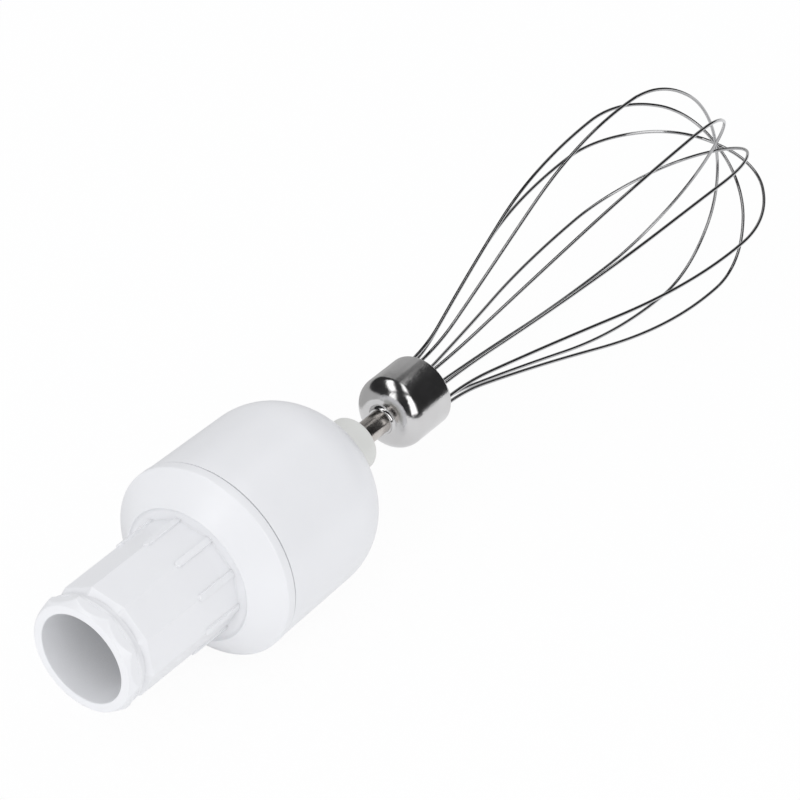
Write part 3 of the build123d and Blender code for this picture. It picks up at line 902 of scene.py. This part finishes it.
def bent_half(number, turn, tip_shift, half_bend):
    """One half of a wire, bent as a used whisk's wires are."""
    sideways, swell, sway = half_bend
    route, tip = wire_route(number)
    places = []
    for r, z in route:
        share = min(max((z - FERRULE_FRONT) / (tip - FERRULE_FRONT), 0), 1)
        middle = math.sin(math.pi * share)
        radius = r + swell * middle + sway * math.sin(2 * math.pi * share)
        place = around(turn, radius, z + tip_shift * share**3)
        place += around(turn + math.pi / 2, sideways * middle, 0)
        place += CAGE_TIP_LEAN * share**2 + CAGE_MIDDLE_LEAN * middle
        places.append(place)
    return places


def round_bar(route, radius, across):
    """A round bar along a route. Across is a direction that the route never runs along."""
    points = []
    for index, place in enumerate(route):
        along = (route[min(index + 1, len(route) - 1)] - route[max(index - 1, 0)]).normalized()
        first = (across - along * across.dot(along)).normalized()
        second = along.cross(first)
        for side in range(WIRE_SIDES):
            angle = 2 * math.pi * side / WIRE_SIDES
            points.append(place + (first * math.cos(angle) + second * math.sin(angle)) * radius)
    faces = []
    for ring in range(len(route) - 1):
        for side in range(WIRE_SIDES):
            after = (side + 1) % WIRE_SIDES
            faces.append((ring * WIRE_SIDES + side, ring * WIRE_SIDES + after,
                          (ring + 1) * WIRE_SIDES + after, (ring + 1) * WIRE_SIDES + side))
    last = (len(route) - 1) * WIRE_SIDES
    faces.append(tuple(range(WIRE_SIDES))[::-1])
    faces.append(tuple(last + side for side in range(WIRE_SIDES)))
    return points, faces


def wires():
    for number, (tip_shift, *half_bends) in enumerate(WIRE_BENDS):
        turn = math.radians(90 / WIRE_COUNT + 180 * number / WIRE_COUNT)
        first, second = (bent_half(number, turn + math.pi * side, tip_shift, bend)
                         for side, bend in enumerate(half_bends))
        bar = round_bar(first + second[-2::-1], WIRE_RADIUS, around(turn + math.pi / 2, 1, 0))
        make_piece(f"steel_wire_{number + 1}", bar, MATERIALS["wire_steel"], "whisk",
                   f"wire_loop_{number + 1}", WIRE_SHARP_ANGLE)


# Stage

def stage_floor():
    """A white table that keeps the object's shadow. The camera sees it close to plain white."""
    bpy.ops.mesh.primitive_plane_add(size=FLOOR_SIZE, location=(0, 0, 0))
    floor = bpy.context.object
    floor.name = "floor"
    material, tree, shader = new_material("white_table", FLOOR_COLOR, FLOOR_ROUGHNESS)
    floor.data.materials.append(material)
    paths = tree.nodes.new("ShaderNodeLightPath")
    glow = tree.nodes.new("ShaderNodeEmission")
    glow.inputs["Color"].default_value = (1, 1, 1, 1)
    gloss = tree.nodes.new("ShaderNodeMath")
    gloss.operation = "MULTIPLY"
    gloss.inputs[1].default_value = FLOOR_IN_GLOSS
    tree.links.new(paths.outputs["Is Glossy Ray"], gloss.inputs[0])
    share = tree.nodes.new("ShaderNodeMath")
    share.operation = "MULTIPLY_ADD"
    share.inputs[1].default_value = FLOOR_IN_VIEW
    tree.links.new(paths.outputs["Is Camera Ray"], share.inputs[0])
    tree.links.new(gloss.outputs[0], share.inputs[2])
    mix = tree.nodes.new("ShaderNodeMixShader")
    tree.links.new(share.outputs[0], mix.inputs[0])
    tree.links.new(shader.outputs[0], mix.inputs[1])
    tree.links.new(glow.outputs[0], mix.inputs[2])
    tree.links.new(mix.outputs[0], tree.nodes["Material Output"].inputs["Surface"])


def area_light(name, location, target, size, power):
    """A square lamp that the gloss doesn't show."""
    light = bpy.data.lights.new(name, "AREA")
    light.energy = power
    light.size = size
    lamp = bpy.data.objects.new(name, light)
    bpy.context.scene.collection.objects.link(lamp)
    lamp.location = location
    lamp.rotation_euler = (Vector(target) - Vector(location)).to_track_quat("-Z", "Y").to_euler()
    lamp.visible_glossy = False


# Cards that only the gloss shows: their corners, as directions from the ferrule, and their strengths
FERRULE_PLACE = Vector((-0.020, 0, 0.026))
CARD_DISTANCE = 1.5
SOFTBOX = 1.8
CARDS = {
    "softbox_back_high": (
        ((0.30, 0.72, 0.63), (0.46, 0.53, 0.72), (-0.36, 0.12, 0.92), (-0.62, 0.33, 0.70)), SOFTBOX),
    "softbox_back_low": (
        ((-0.76, 0.33, 0.55), (-0.50, 0.09, 0.86), (-0.96, 0.00, 0.27), (-0.96, 0.25, 0.08)), SOFTBOX),
    "softbox_front_high": (
        ((0.57, 0.26, 0.70), (0.57, 0.11, 0.74), (0.24, -0.36, 0.90), (0.08, -0.16, 0.98)), SOFTBOX),
    "softbox_front_low": (
        ((-0.12, -0.33, 0.94), (0.20, -0.49, 0.85), (0.02, -0.97, 0.20), (-0.59, -0.80, 0.12)), SOFTBOX),
    "grey_wall_low": (
        ((0.62, 0.78, -0.05), (0.62, 0.70, 0.35), (0.90, 0.39, 0.19), (0.90, 0.43, -0.03)), 0.5),
    "grey_wall_middle": (
        ((0.62, 0.70, 0.35), (0.62, 0.51, 0.60), (0.90, 0.28, 0.33), (0.90, 0.39, 0.19)), 0.45),
    "grey_wall_high": (
        ((0.62, 0.51, 0.60), (0.62, 0.25, 0.74), (0.90, 0.14, 0.41), (0.90, 0.28, 0.33)), 0.22),
}

# A grey cloth that lies on the table behind the object, by its corners in metres
GREY_CLOTH = ((-1.2, 0.035, 0.001), (1.2, 0.035, 0.001), (1.2, 1.6, 0.001), (-1.2, 1.6, 0.001))
GREY_CLOTH_STRENGTH = 0.5

# Lamps: where they stand, what they light, their size in metres and their power in watts
KEY_LAMP = ((-1.2, -0.25, 0.75), (-0.05, 0, 0.03), 0.5, 3.0)
SIDE_LAMP = ((0.0, -1.2, 0.1), (0, 0, 0.03), 0.6, 0.25)

# The studio's soft light, and how dark the studio is in the gloss
SOFT_LIGHT_COLOR = (0.975, 0.98, 1.0, 1)
SOFT_LIGHT_STRENGTH = 0.90
DARK_STUDIO_COLOR = (0.03, 0.03, 0.031, 1)


def reflection_card(name, places, strength):
    """A glowing card that only mirror-like surfaces show."""
    mesh = bpy.data.meshes.new(name)
    mesh.from_pydata(places, [], [(0, 1, 2, 3)])
    card = bpy.data.objects.new(name, mesh)
    bpy.context.scene.collection.objects.link(card)
    material = bpy.data.materials.new(name)
    material.use_nodes = True
    tree = material.node_tree
    glow = tree.nodes.new("ShaderNodeEmission")
    glow.inputs["Strength"].default_value = strength
    tree.links.new(glow.outputs[0], tree.nodes["Material Output"].inputs["Surface"])
    mesh.materials.append(material)
    card.visible_camera = False
    card.visible_diffuse = False
    card.visible_shadow = False
    card.visible_transmission = False


def reflection_cards():
    for name, (corners, strength) in CARDS.items():
        places = [FERRULE_PLACE + Vector(corner).normalized() * CARD_DISTANCE for corner in corners]
        reflection_card(name, places, strength)
    reflection_card("grey_cloth", GREY_CLOTH, GREY_CLOTH_STRENGTH)


def world_light():
    """Soft white light from all round, and a dark studio above the table for the gloss alone."""
    world = bpy.data.worlds.new("studio")
    bpy.context.scene.world = world
    world.use_nodes = True
    tree = world.node_tree
    soft = tree.nodes["Background"]
    soft.inputs["Color"].default_value = SOFT_LIGHT_COLOR
    soft.inputs["Strength"].default_value = SOFT_LIGHT_STRENGTH
    white = tree.nodes.new("ShaderNodeBackground")
    white.inputs["Color"].default_value = (1, 1, 1, 1)
    dark = tree.nodes.new("ShaderNodeBackground")
    dark.inputs["Color"].default_value = DARK_STUDIO_COLOR
    paths = tree.nodes.new("ShaderNodeLightPath")
    gloss = tree.nodes.new("ShaderNodeMixShader")
    tree.links.new(paths.outputs["Is Glossy Ray"], gloss.inputs[0])
    tree.links.new(soft.outputs[0], gloss.inputs[1])
    tree.links.new(dark.outputs[0], gloss.inputs[2])
    seen = tree.nodes.new("ShaderNodeMixShader")
    tree.links.new(paths.outputs["Is Camera Ray"], seen.inputs[0])
    tree.links.new(gloss.outputs[0], seen.inputs[1])
    tree.links.new(white.outputs[0], seen.inputs[2])
    tree.links.new(seen.outputs[0], tree.nodes["World Output"].inputs["Surface"])


def place_camera():
    """The camera looks along its bearing, down by its elevation, and is rolled about its own view."""
    data = bpy.data.cameras.new("camera")
    data.lens = CAMERA_LENS
    data.sensor_width = CAMERA_SENSOR
    camera = bpy.data.objects.new("camera", data)
    bpy.context.scene.collection.objects.link(camera)
    turn = Euler((math.radians(90 - CAMERA_ELEVATION), 0, math.radians(CAMERA_BEARING))).to_matrix()
    turn = turn @ Matrix.Rotation(math.radians(CAMERA_ROLL), 3, "Z")
    place = CAMERA_AIM + turn @ Vector((0, 0, CAMERA_DISTANCE))
    camera.matrix_world = Matrix.Translation(place) @ turn.to_4x4()
    bpy.context.scene.camera = camera


dress_nodes()
coupler()
dome()
hub()
shaft()
ferrule()
wires()
stage_floor()
reflection_cards()
world_light()
area_light("key", *KEY_LAMP)
area_light("side", *SIDE_LAMP)
place_camera()
bpy.context.scene.view_settings.view_transform = "Standard"
